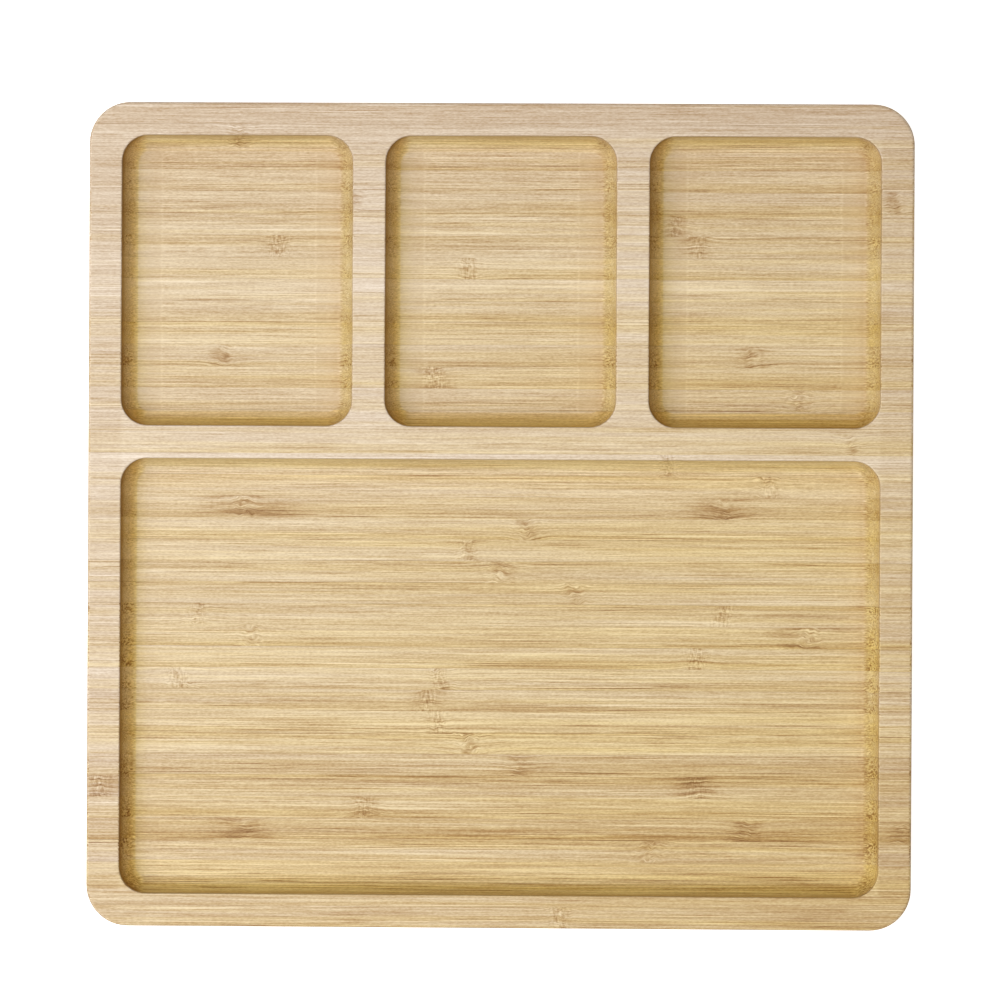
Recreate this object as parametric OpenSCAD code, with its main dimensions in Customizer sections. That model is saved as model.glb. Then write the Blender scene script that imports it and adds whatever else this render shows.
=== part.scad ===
// Divided serving plate of laminated bamboo.
// Narrow strips stand on edge and are glued face to face into a panel. The panel is sawn to a
// rounded square, and a bowl cutter routes one large and several small compartments into it.
// The strips run along X, the small compartments lie towards +Y, and the plate stands on Z = 0.

/* [Plate] */
// Width of the plate, along the strips
plate_w = 250; // [220:1:320]
// Depth of the plate, across the strips
plate_d = 250; // [220:1:320]
// Thickness of the plate
plate_t = 15; // [12:0.5:25]
// Radius of the plate's corners in plan
corner_r = 12.5; // [6:0.5:20]
// Radius sanded onto the outer edges, top and bottom
edge_r = 1; // [0.5:0.1:3]

/* [Strips] */
// Number of bamboo strips behind the one that runs along the divider
back_strips = 15; // [11:1:20]
// Number of bamboo strips in front of the one that runs along the divider
front_strips = 22; // [16:1:28]

/* [Compartments] */
// Width of the rim around the compartments
rim_w = 10; // [7:0.5:16]
// Width of the walls between compartments
divider_w = 10; // [6:0.5:16]
// Number of small compartments in the back row
small_count = 3; // [2:1:4]
// Depth of the small compartments, front to back
small_d = 88; // [50:1:120]
// Depth of the routing below the rim
pocket_depth = 8; // [6:0.5:10]
// Diameter of the bowl cutter, which also rounds the compartments' corners in plan
cutter_d = 16; // [12:0.5:30]
// Radius of the cutter's rounded rim, which leaves the cove between a wall and the floor
cove_r = 5; // [2:0.5:5.5]
// Radius eased onto the compartments' top edges
arris_r = 0.5; // [0.2:0.1:0.9]

/* [Hidden] */
$fn = 48;

// Margin by which each cut reaches past the faces that it opens, more than any eased edge
overshoot = 1;

pocket_r = cutter_d / 2;
row_w = plate_w - 2 * rim_w;
small_w = (row_w - (small_count - 1) * divider_w) / small_count;
small_pitch = small_w + divider_w;
small_y = plate_d / 2 - rim_w - small_d / 2;
divider_y = small_y - (small_d + divider_w) / 2;
large_d = plate_d - 2 * rim_w - divider_w - small_d;
large_y = divider_y - (divider_w + large_d) / 2;

// One whole strip runs along the middle of the divider, so that no glue line weakens it there.
// Strips of equal width fill the plate behind it, and others the plate in front of it.
strip_count = back_strips + 1 + front_strips;
divider_strip_w = plate_d / strip_count;
back_strip_w = (plate_d / 2 - divider_y - divider_strip_w / 2) / back_strips;
front_strip_w = (plate_d / 2 + divider_y - divider_strip_w / 2) / front_strips;

// Y of the faces of the strips, from the back to the front. The outermost two reach past the plate.
strip_faces = concat(
    [plate_d / 2 + overshoot],
    [for (i = [1 : back_strips]) plate_d / 2 - i * back_strip_w],
    [for (i = [front_strips : -1 : 1]) i * front_strip_w - plate_d / 2],
    [-plate_d / 2 - overshoot]
);

// Bamboo tones that alternate from strip to strip
strip_tones = ["#dcc397", "#d2b482", "#e1caa2"];

function strip_name(i) = str("strip_", i < 10 ? "0" : "", i);

// The stretch that strip $strip meets of a block of plan size w by d, with its middle at Y = y and
// corners of radius r. The child draws half of the block's section, from the middle at X = 0 out
// to the wall at X = $reach. Only a strip near the back or front of the block meets its corners.
module rounded_block(w, d, r, y) {
    back = strip_faces[$strip - 1];
    front = strip_faces[$strip];
    nearest = max(front - y, y - back);
    farthest = max(back - y, y - front);
    translate([0, y, 0])
        if (nearest < d / 2 + overshoot) {
            rotate([90, 0, 0])
                linear_extrude(d - 2 * r, center = true)
                    let ($reach = w / 2) both_halves() children();
            if (farthest > d / 2 - r) {
                rotate([90, 0, 90])
                    linear_extrude(w - 2 * r, center = true)
                        let ($reach = d / 2) both_halves() children();
                for (x = [-1, 1], end = [-1, 1])
                    translate([x * (w / 2 - r), end * (d / 2 - r), 0])
                        rotate_extrude()
                            let ($reach = r) children();
            }
        }
}

module both_halves() {
    children();
    mirror([1, 0]) children();
}

module quarter_disc(r) {
    intersection() {
        circle(r = r);
        square(r);
    }
}

// Half of the panel's section, with the sanded edges
module panel_half() {
    flat_reach = $reach - edge_r;
    square([flat_reach, plate_t]);
    translate([flat_reach, edge_r]) {
        mirror([0, 1]) quarter_disc(edge_r);
        square([edge_r, plate_t - 2 * edge_r]);
        translate([0, plate_t - 2 * edge_r]) quarter_disc(edge_r);
    }
}

// Half of what the bowl cutter removes: flat floor, cove, upright wall and eased top edge
module routed_half() {
    floor_reach = $reach - cove_r;
    square([floor_reach, pocket_depth + overshoot]);
    translate([floor_reach, cove_r]) {
        mirror([0, 1]) quarter_disc(cove_r);
        square([cove_r, pocket_depth + overshoot - cove_r]);
    }
    translate([$reach, pocket_depth - arris_r])
        difference() {
            square([arris_r, arris_r + overshoot]);
            translate([arris_r, 0]) circle(r = arris_r);
        }
}

module panel() {
    rounded_block(plate_w, plate_d, corner_r, 0)
        panel_half();
}

module compartment(w, d, x, y) {
    translate([x, 0, plate_t - pocket_depth])
        rounded_block(w, d, pocket_r, y)
            routed_half();
}

// One bamboo strip, with its slice of the rounded panel and of the compartments
module strip(i) {
    $strip = i;
    back = strip_faces[i - 1];
    front = strip_faces[i];
    color(strip_tones[i % len(strip_tones)])
        difference() {
            intersection() {
                panel();
                translate([-plate_w / 2 - overshoot, front, -overshoot])
                    cube([plate_w + 2 * overshoot, back - front, plate_t + 2 * overshoot]);
            }
            compartment(row_w, large_d, 0, large_y);
            for (column = [0 : small_count - 1])
                compartment(small_w, small_d, (column - (small_count - 1) / 2) * small_pitch, small_y);
        }
}

for (i = [1 : strip_count])
    strip(i);
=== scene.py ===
"""Looks of the divided bamboo plate: its glued strips, a pale table top, studio light and camera."""

import math
import random

import bpy
from mathutils import Matrix, Vector


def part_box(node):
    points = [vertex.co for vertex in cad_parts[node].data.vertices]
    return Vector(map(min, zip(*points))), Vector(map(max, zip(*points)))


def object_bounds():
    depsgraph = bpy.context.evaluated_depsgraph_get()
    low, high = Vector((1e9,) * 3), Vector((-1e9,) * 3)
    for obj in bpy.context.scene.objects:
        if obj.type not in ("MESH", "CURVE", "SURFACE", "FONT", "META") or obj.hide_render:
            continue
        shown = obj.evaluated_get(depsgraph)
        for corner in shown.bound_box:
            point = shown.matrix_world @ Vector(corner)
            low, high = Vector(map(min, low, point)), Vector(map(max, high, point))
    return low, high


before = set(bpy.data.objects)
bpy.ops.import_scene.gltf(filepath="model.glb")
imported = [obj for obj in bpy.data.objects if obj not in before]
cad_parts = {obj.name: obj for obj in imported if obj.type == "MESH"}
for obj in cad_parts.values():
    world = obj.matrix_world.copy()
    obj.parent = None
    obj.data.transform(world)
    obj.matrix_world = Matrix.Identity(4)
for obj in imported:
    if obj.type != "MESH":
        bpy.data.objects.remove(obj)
cad_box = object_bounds()


# Bamboo strips
# The plate is one panel of split, planed bamboo strips that stand on edge and are glued face to face.
# A bowl cutter routes the compartments into the panel, and the rims and floors are then sanded and oiled.
MM = 0.001

# The panel and what the cutter leaves of it, in millimetres
PLATE_HALF = cad_box[1][0] / MM
RIM_Z = cad_box[1][2] / MM
RIM_W = 10.0
DIVIDER_W = 10.0
SMALL_COUNT = 3
SMALL_D = 88.0
POCKET_DEPTH = 8.0
COVE_R = 5.0
LARGE_W = 2 * (PLATE_HALF - RIM_W)
SMALL_W = (LARGE_W - (SMALL_COUNT - 1) * DIVIDER_W) / SMALL_COUNT
SMALL_PITCH = SMALL_W + DIVIDER_W
DIVIDER_Y = PLATE_HALF - RIM_W - SMALL_D - DIVIDER_W / 2
FLOOR_Z = RIM_Z - POCKET_DEPTH
COVE_Z = FLOOR_Z + COVE_R
# How far from an end wall the cutter's last pass reaches
PASS_W = 11.5
# Painted light at the foot of a left wall, where its shadow falls, and painted shade at the foot of a
# right wall: from, at most and up to this far in
PAINTED_LIGHT_FOOT = (1, 3.5, 9)
PAINTED_SHADE_FOOT = (1.5, 4, 8)
GLUE_LINE_W = 0.16

# Grains of the bamboo's layers along X, Y and Z, in millimetres, from coarse to fine
SWAY = (160, 8, 8)
BANDS = (110, 2.6, 2.6)
DRIFT = (100, 1.5, 1.5)
THREADS = (55, 0.4, 0.4)
FIBRES = (46, 0.37, 0.37)
PORES = (28, 0.36, 0.36)
GLUE_GAPS = (24, 40, 40)
STAIN_PATCHES = (16, 0.9, 0.9)
BUNDLES = (9, 0.58, 0.58)
DASHES = (6, 0.34, 0.34)
CURL = (3.2, 2.2, 2.2)
WOBBLE = (3, 1.2, 3)
GRAIN = (1.1, 0.3, 0.3)
# A knuckle shows either as short strokes across the fibres or as dashes along them
KNUCKLE_STROKES = ((0.6, 1.4, 1.4), (2.2, 0.45, 0.45))

# Where the culm's knuckles cross each strip, in millimetres to the right of the plate's middle,
# and how far the brown stain of each runs along the fibres
KNUCKLES = {
    2: {-80: 5},
    5: {-44: 4, 119: 4},
    6: {53: 8},
    7: {-68: 8, 60: 9},
    8: {-10: 4},
    12: {-85: 7, 76: 9},
    13: {-20: 8},
    14: {91: 5},
    16: {106: 4},
    17: {51: 4},
    18: {82: 5},
    19: {-78: 22, 68: 18},
    20: {8: 6},
    21: {-10: 4},
    22: {0: 6},
    23: {23: 5},
    24: {-92: 4, 68: 4},
    25: {-75: 4, 94: 26},
    26: {60: 5},
    27: {-98: 4, -18: 5},
    28: {-22: 9},
    29: {-19: 6},
    30: {-9: 5},
    31: {6: 7},
    32: {-121: 9, 60: 18},
    33: {-41: 10},
    34: {-77: 15, 75: 12, 123: 8},
    35: {46: 6},
    38: {19: 5},
}
# Strips that were cut from paler or darker culms than the rest
PALER_STRIPS = {
    8: 0.5,
    9: 0.9,
    11: 0.4,
    17: 1.2,
    18: 0.5,
    20: 0.6,
    21: 0.8,
    26: 0.6,
    27: 0.9,
    29: 0.5,
    30: 0.6,
}
DARKER_STRIPS = {
    1: 0.8,
    2: 0.25,
    3: 0.8,
    4: 0.3,
    12: 0.5,
    19: 0.3,
    25: 0.4,
    28: 0.5,
    31: 0.9,
    32: 1.0,
    33: 0.5,
    34: 1.6,
    35: 0.8,
    36: 0.4,
    37: 0.9,
    38: 0.9,
}
# From this strip to the front the culms were older, and their fibres show more
FIRST_OLD_STRIP = 20
# Strips of pinker or more golden bamboo than the rest
GOLDEN_STRIPS = {
    1: -0.4,
    2: -0.2,
    16: 0.08,
    17: -0.1,
    18: -0.1,
    34: 0.15,
    36: 0.1,
    37: 0.15,
    38: 0.15,
}
# Strips whose coves are darker and more golden than their rims and floors
GOLDEN_COVES = {3: 0.15, 15: 0.55}
# Strips whose fibre ends show as strong dots where the cutter or the saw crosses them, and the rest
DOTTED_STRIPS = {
    4: 0.35,
    7: 0.4,
    12: 0.5,
    13: 0.35,
    15: 0.35,
    24: 0.65,
    25: 0.65,
    26: 0.65,
    27: 0.55,
    28: 0.45,
    31: 0.6,
    33: 0.55,
    35: 0.65,
    37: 0.4,
}
FAINT_DOTS = 0.1


def paint(red, green, blue):
    """A screen colour of 0 to 255 as the light that it reflects."""
    shares = [part / 255 for part in (red, green, blue)]
    light = [s / 12.92 if s <= 0.04045 else ((s + 0.055) / 1.055) ** 2.4 for s in shares]
    return (*light, 1)


# Pinkish bamboo from its darkest to its palest fibre, each at its tone, and the glue between strips
FIBRE_COLOURS = {
    0.0: paint(142, 106, 69),
    0.33: paint(186, 156, 122),
    0.6: paint(214, 195, 172),
    0.82: paint(234, 220, 203),
    1.0: paint(247, 235, 222),
}
GLUE = paint(150, 114, 72)
# What golden bamboo, tools and oil make of these colours, and painted shade on walls and edges: each tint
# multiplies them
HONEY_TINT = paint(255, 247, 198)
CARAMEL_TINT = paint(252, 239, 216)
FLOOR_TINT = paint(251, 248, 234)
CUT_TINT = paint(252, 248, 217)
# Painted shade on the upright sides and edges, on the lower coves of walls facing the lamps, and on walls
# facing away from them
UPRIGHT_SHADE_TINT = paint(198, 190, 180)
LIT_WALL_FOOT_SHADE_TINT = paint(238, 237, 236)
AWAY_WALL_SHADE_TINT = paint(246, 231, 210)
AWAY_WALL_TOP_SHADE_TINT = paint(210, 194, 154)


class Shade:
    """One output in a material's nodes. Sums and products of values add Math nodes."""

    tree = None

    def __init__(self, socket):
        self.socket = socket

    @classmethod
    def node(cls, kind, settings, sockets, output=0):
        """Adds a node of this kind, with its settings first and then its values and links."""
        made = cls.tree.nodes.new("ShaderNode" + kind)
        for name, setting in settings.items():
            setattr(made, name, setting)
        for name, value in sockets.items():
            if isinstance(value, Shade):
                cls.tree.links.new(value.socket, made.inputs[name])
            else:
                made.inputs[name].default_value = value
        return cls(made.outputs[output])

    def math(self, operation, *others):
        return Shade.node("Math", {"operation": operation}, dict(enumerate((self, *others))))

    def __add__(self, other):
        return self.math("ADD", other)

    def __sub__(self, other):
        return self.math("SUBTRACT", other)

    def __rsub__(self, other):
        return Shade.node("Math", {"operation": "SUBTRACT"}, {0: other, 1: self})

    def __mul__(self, other):
        return self.math("MULTIPLY", other)

    def __truediv__(self, other):
        return self.math("DIVIDE", other)

    def __abs__(self):
        return self.math("ABSOLUTE")

    __radd__ = __add__
    __rmul__ = __mul__


def rise(value, low, high):
    """0 below low, 1 above high, and a smooth step between."""
    return Shade.node(
        "MapRange",
        {"interpolation_type": "SMOOTHSTEP"},
        {"Value": value, "From Min": low, "From Max": high},
    )


def hump(value, low, top, high):
    """0 up to low, 1 at the top, and 0 again from high."""
    return rise(value, low, top) * (1 - rise(value, top, high))


def bell(value, middle, width):
    """1 at the middle, falling to about a third at this width from it."""
    away = (value - middle) / width
    return (away * away * -1).math("EXPONENT")


def parts(vector):
    """X, Y and Z of a vector."""
    separate = Shade.node("SeparateXYZ", {}, {0: vector}).socket.node
    return [Shade(output) for output in separate.outputs]


def noise(place, size, chance, detail=1.0, roughness=0.55):
    """Noise with grains of this size along X, Y and Z. Chance picks where it starts."""
    start = [chance.uniform(-500, 500) for _ in range(3)]
    scaled = Shade.node(
        "VectorMath",
        {"operation": "MULTIPLY_ADD"},
        {0: place, 1: [1 / length for length in size], 2: start},
    )
    return Shade.node(
        "TexNoise",
        {},
        {"Vector": scaled, "Scale": 1.0, "Detail": detail, "Roughness": roughness},
    )


def ramp(value, colours):
    """The colour that belongs to a value, between those given for some values."""
    shade = Shade.node("ValToRGB", {}, {0: value})
    elements = shade.socket.node.color_ramp.elements
    for share in list(colours)[1:-1]:
        elements.new(share)
    for element, (share, colour) in zip(elements, colours.items()):
        element.position = share
        element.color = colour
    return shade


def mix(share, first, second, how="MIX"):
    """A colour that goes from the first to the second."""
    return Shade.node(
        "Mix",
        {"data_type": "RGBA", "blend_type": how},
        {0: share, 6: first, 7: second},
        output=2,
    )


def tinted(colour, share, tint):
    """A colour with this share of a tint over it."""
    return mix(share, colour, tint, "MULTIPLY")


def routed_faces(reach, z):
    """Masks of the compartments' floors, of their coves and walls, and of the rims and all the rest."""
    rim_middle = PLATE_HALF - RIM_W / 2
    inside = 1 - rise(reach, rim_middle - 1, rim_middle + 1)
    above_floor = rise(z, FLOOR_Z + 0.002, FLOOR_Z + 0.1)
    floor = (1 - above_floor) * rise(z, FLOOR_Z - 2, FLOOR_Z - 1) * inside
    cut = above_floor * (1 - rise(z, RIM_Z - 0.9, RIM_Z - 0.3)) * inside
    return floor, cut, 1 - floor - cut


def knuckle_marks(number, back, front, x, y, curl, chance):
    """How far a strip's fibres swerve round its knuckles, and masks of the knuckles and their stains."""
    swerve = 0
    knot = 0
    stain = 0
    for knuckle_x, smear in KNUCKLES.get(number, {}).items():
        along = x - knuckle_x - (y - (back + front) / 2) * chance.uniform(-0.35, 0.35)
        near = bell(along, 0, chance.uniform(2.5, 8))
        pivot = chance.uniform(front, back)
        swerve = swerve + (y - pivot) * near * chance.choice((-0.2, 0.15))
        swerve = swerve + rise(along, -2.5, 2.5) * chance.uniform(-0.6, 0.6)
        swerve = swerve + (curl - 0.5) * bell(along, 0, 4.5) * chance.uniform(1.2, 2.8)
        knot = knot + bell(along, 0, chance.uniform(2.0, 3.6)) * chance.uniform(0.5, 0.95)
        before = rise(along, -smear * chance.uniform(0.5, 1.1), 0)
        after = 1 - rise(along, 0, smear * chance.uniform(0.5, 1.1))
        stain = stain + before * after * min(1, 0.4 + smear / 25)
    return swerve, knot, stain


def with_glue_lines(colour, place, y, faces, chance):
    """A colour with the thin dark glue lines that show in places along a strip's two faces."""
    for face in faces:
        line = bell(y, face, GLUE_LINE_W)
        gaps = noise(place, GLUE_GAPS, chance)
        colour = mix(line * rise(gaps, 0.4, 0.7) * chance.uniform(0.1, 0.8), colour, GLUE)
    return colour


def with_tool_marks_and_painted_shade(colour, z, floor, cut, rim, endwise, upward):
    """A colour as the cutter and the sander leave it on floors, coves and end walls, with painted light
    and shade on the walls and edges.
    """
    colour = tinted(colour, floor + cut, FLOOR_TINT)
    cove_top = rise(z, FLOOR_Z + 1.8, COVE_Z + 0.3)
    left_facing = rise(endwise * -1, 0.05, 0.45)
    end_wall = left_facing + rise(endwise, 0.02, 0.2)
    gilded = cut * end_wall.math("MAXIMUM", rise(z, FLOOR_Z, FLOOR_Z + 1.2))
    # Painted light: walls that face the lamps keep less of the cut tint, and least near their tops
    colour = tinted(colour, gilded * (1 - left_facing * (0.12 + cove_top * 0.5)), CUT_TINT)
    upright = 1 - rise(abs(upward), 0.3, 0.97)
    # Painted shade darkens the upright sides and edges
    colour = tinted(colour, rim * upright, UPRIGHT_SHADE_TINT)
    # Painted shade darkens the lower coves of walls that face the lamps
    colour = tinted(colour, cut * left_facing * (1 - cove_top), LIT_WALL_FOOT_SHADE_TINT)
    # Walls that face away from the lamps get a warm painted shade, darker still near their tops
    painted_shade_walls = cut * rise(endwise, 0.03, 0.5)
    colour = tinted(colour, painted_shade_walls, AWAY_WALL_SHADE_TINT)
    return tinted(colour, painted_shade_walls * cove_top, AWAY_WALL_TOP_SHADE_TINT)


def bamboo(number, back, front):
    """The bamboo of one strip, whose faces lie at these Y values in millimetres."""
    chance = random.Random(number)
    material = bpy.data.materials.new(f"bamboo_{number:02d}")
    material.use_nodes = True
    Shade.tree = material.node_tree
    shader = material.node_tree.nodes["Principled BSDF"]

    metres = Shade.node("TexCoord", {}, {}, output="Object")
    place = Shade.node("VectorMath", {"operation": "SCALE"}, {0: metres, "Scale": 1 / MM})
    x, y, z = parts(place)
    endwise, _, upward = parts(Shade.node("NewGeometry", {}, {}, output="Normal"))
    reach = abs(x).math("MAXIMUM", abs(y))
    floor, cut, rim = routed_faces(reach, z)
    outer_rim = rise(reach, PLATE_HALF - RIM_W - 1, PLATE_HALF - RIM_W + 1)

    # The cutter's last pass along the end walls combs a band of the floor. The feet of these walls get
    # painted light on the left and painted shade on the right. The combing and the painted light show
    # most in the small compartments.
    if (back + front) / 2 > DIVIDER_Y:
        half_w = SMALL_W / 2
        from_middle = x.math("WRAP", SMALL_PITCH / 2, -SMALL_PITCH / 2)
        combing = floor
        painted_light_share = 0.1
    else:
        half_w = LARGE_W / 2
        from_middle = x
        combing = floor * 0.35
        painted_light_share = 0.04
    wobble = noise(place, WOBBLE, chance)
    last_pass = half_w - abs(from_middle) + (wobble - 0.5) * 1.5
    combed = combing * (1 - rise(last_pass, PASS_W - 0.3, PASS_W + 0.3))
    pass_edge = combing * bell(last_pass, PASS_W, 0.35)
    painted_light_foot = (floor + cut) * hump(half_w + from_middle, *PAINTED_LIGHT_FOOT)
    painted_shade_foot = (floor + cut) * hump(half_w - from_middle, *PAINTED_SHADE_FOOT)

    # Fibres run almost straight along the strip and swerve only round the knuckles
    sway = noise(place, SWAY, chance)
    curl = noise(place, CURL, chance)
    swerve, knot, stain = knuckle_marks(number, back, front, x, y, curl, chance)
    across = y + (sway - 0.5) * 0.8 + swerve
    deep = z + (sway - 0.5) * 0.6
    fibre_place = Shade.node("CombineXYZ", {}, {0: x, 1: across, 2: deep})
    bands = noise(fibre_place, BANDS, chance, detail=2)
    fibres = noise(fibre_place, FIBRES, chance, detail=2, roughness=0.6)
    dashes = noise(fibre_place, DASHES, chance)
    grain = noise(fibre_place, GRAIN, chance)
    threads = noise(fibre_place, THREADS, chance)
    pores = noise(fibre_place, PORES, chance)
    drift = noise(fibre_place, DRIFT, chance)

    # The skin side of a strip has more, darker and more golden fibres than the pith side
    skin_side = chance.choice((back, front))
    pith_side = back + front - skin_side
    skin = rise((y - pith_side) / (skin_side - pith_side), 0.2, 1.0)

    # The tone goes from 0 for the darkest fibre to 1 for the palest, and each layer adds its share
    darker = DARKER_STRIPS.get(number, 0) - PALER_STRIPS.get(number, 0)
    coarse = (bands - 0.5) * 0.3 - skin * 0.07 + 0.012 + chance.uniform(-0.03, 0.03)
    fine = (fibres - 0.5) * (0.72 + skin * 0.35) + rise(threads, 0.6, 0.68) * 0.21
    fine = fine - rise(pores, 0.6, 0.7) * (0.12 + skin * 0.22)
    strength = 0.9 + 0.025 * max(0, number - FIRST_OLD_STRIP)
    fine = fine * strength + (dashes - 0.5) * 0.35 + (grain - 0.5) * 0.52
    fine = fine * (1 - rim * 0.12 - combed * 0.35)
    # The tone falls a little towards the right as painted shade, where the light falls off
    tone = 0.64 + coarse * (1 - rim * 0.75) + fine - darker * 0.075 - x / PLATE_HALF * 0.02
    tone = tone - combed * 0.02 + pass_edge * 0.06 + rim * 0.03
    # Painted light makes the feet of left walls paler, and painted shade makes the feet of right walls
    # darker
    tone = tone + painted_light_foot * painted_light_share - painted_shade_foot * 0.08
    # Painted shade darkens the outer rim, and most of all towards the front right corner
    tone = tone - outer_rim * (0.07 + rise(x - y, 150, 240) * 0.06)

    # Faces that cross the fibres show their ends as dots and differ more from strip to strip
    fibre_ends = rise(abs(endwise), 0.1, 0.6)
    bundles = noise(place, BUNDLES, chance)
    dotting = DOTTED_STRIPS.get(number, FAINT_DOTS) * (0.45 + skin * 0.55)
    tone = tone + fibre_ends * (0.3 - rise(bundles, 0.46, 0.62)) * dotting
    tone = tone + fibre_ends * chance.uniform(-0.05, 0.05)
    golden_cove = cut * GOLDEN_COVES.get(number, 0)
    tone = tone - golden_cove * 0.06
    if number in KNUCKLES:
        strokes = noise(fibre_place, chance.choice(KNUCKLE_STROKES), chance, detail=2)
        patches = noise(fibre_place, STAIN_PATCHES, chance)
        tone = tone + knot * ((strokes - 0.5) * 1.5 + 0.02)
        tone = tone - stain * (0.05 + rise(patches, 0.4, 0.62) * 0.34)

    # The golden share goes from 0 for pinkish bamboo to 1 for the colour of honey
    # Painted shade: the bamboo turns darker and more golden towards the front right corner
    front_right_shade = (x - y) / PLATE_HALF * 0.17
    golden = 0.28 + skin * 0.22 + (drift - 0.5) * 0.95 + front_right_shade + chance.uniform(-0.1, 0.1)
    golden = golden + GOLDEN_STRIPS.get(number, 0) + golden_cove - rim * 0.03 + painted_light_foot * 0.4
    golden = golden + fibre_ends * (dotting * 0.2 + chance.uniform(-0.25, 0.2))
    colour = tinted(ramp(tone, FIBRE_COLOURS), golden, HONEY_TINT)
    colour = tinted(colour, golden_cove, CARAMEL_TINT)
    colour = with_glue_lines(colour, place, y, (back, front), chance)
    colour = with_tool_marks_and_painted_shade(colour, z, floor, cut, rim, endwise, upward)

    # The oil leaves the fibres a satin finish, and the routed coves a duller one
    rough = 0.5 + fibres * 0.12 + cut * 0.1
    height = fibres + dashes * 0.6 + grain * 0.4
    bump = Shade.node("Bump", {}, {"Strength": 0.3, "Distance": 0.05 * MM, "Height": height})
    for name, value in {"Base Color": colour, "Roughness": rough, "Normal": bump}.items():
        Shade.tree.links.new(value.socket, shader.inputs[name])
    shader.inputs["Specular IOR Level"].default_value = 0.35
    return material


for name, strip in sorted(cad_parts.items()):
    lowest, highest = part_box(name)
    strip.data.materials[0] = bamboo(int(name.split("_")[1]), highest.y / MM, lowest.y / MM)


# Table top
# A wide sheet of matt white laminate that the plate lies on.
# It is lit from below, so that hardly a shadow shows.
TABLE_HALF = 6.0
TABLE_WHITE = (0.94, 0.94, 0.94, 1)
LAMINATE = {
    "Base Color": TABLE_WHITE,
    "Roughness": 0.8,
    "Specular IOR Level": 0.1,
    "Emission Color": TABLE_WHITE,
    "Emission Strength": 0.8,
}

corners = [(-TABLE_HALF, -TABLE_HALF, 0), (TABLE_HALF, -TABLE_HALF, 0)]
corners += [(TABLE_HALF, TABLE_HALF, 0), (-TABLE_HALF, TABLE_HALF, 0)]
table_mesh = bpy.data.meshes.new("table_top")
table_mesh.from_pydata(corners, [], [(0, 1, 2, 3)])
table = bpy.data.objects.new("table_top", table_mesh)
bpy.context.scene.collection.objects.link(table)
laminate = bpy.data.materials.new("white_laminate")
laminate.use_nodes = True
for name, value in LAMINATE.items():
    laminate.node_tree.nodes["Principled BSDF"].inputs[name].default_value = value
table_mesh.materials.append(laminate)


# Studio light
# A long soft box stands to the left of the plate, and a square one hangs over it.
# The warm white walls of the studio fill the rest.
SOFT_BOXES = {
    "side_box": {
        "at": (-0.52, -0.2, 0.85),
        "long": 3.0,
        "wide": 0.6,
        "watts": 7.6,
        "colour": (1, 1, 1),
    },
    "top_box": {
        "at": (-0.42, -0.14, 1.25),
        "long": 1.8,
        "wide": 1.8,
        "watts": 15.2,
        "colour": (1, 0.97, 0.92),
    },
}
FILL_STRENGTH = 0.21
FILL_COLOUR = (1.0, 0.9, 0.76, 1)

for name, box in SOFT_BOXES.items():
    lamp = bpy.data.lights.new(name, "AREA")
    lamp.shape = "RECTANGLE"
    lamp.size = box["long"]
    lamp.size_y = box["wide"]
    lamp.energy = box["watts"]
    lamp.color = box["colour"]
    soft_box = bpy.data.objects.new(name, lamp)
    soft_box.location = box["at"]
    soft_box.rotation_euler = soft_box.location.to_track_quat("Z", "Y").to_euler()
    bpy.context.scene.collection.objects.link(soft_box)

world = bpy.data.worlds.new("white_walls")
world.use_nodes = True
walls = world.node_tree.nodes["Background"]
walls.inputs["Color"].default_value = FILL_COLOUR
walls.inputs["Strength"].default_value = FILL_STRENGTH
bpy.context.scene.world = world
bpy.context.scene.view_settings.view_transform = "Standard"


# Camera
# It hangs almost straight above the plate, with a long lens, so that walls and sides hardly show.
# It is turned a little round its own axis.
CAMERA_AT = Vector((32, 12, 1500)) * MM
LOOKS_AT = Vector((0.1, 4.8, 15)) * MM
ROLL_DEG = 0.291
SENSOR_MM = 36.0
PHOTO_SIDE_PX = 1000
FOCUS_PX = 4905

back_axis = (CAMERA_AT - LOOKS_AT).normalized()
level_right = Vector((0, 1, 0)).cross(back_axis).normalized()
level_up = back_axis.cross(level_right)
roll = math.radians(ROLL_DEG)
right_axis = level_right * math.cos(roll) + level_up * math.sin(roll)
up_axis = back_axis.cross(right_axis)
lens = bpy.data.cameras.new("camera")
lens.sensor_width = SENSOR_MM
lens.lens = FOCUS_PX / PHOTO_SIDE_PX * SENSOR_MM
camera = bpy.data.objects.new("camera", lens)
turned = Matrix((right_axis, up_axis, back_axis)).transposed().to_4x4()
camera.matrix_world = Matrix.Translation(CAMERA_AT) @ turned
bpy.context.scene.collection.objects.link(camera)
bpy.context.scene.camera = camera
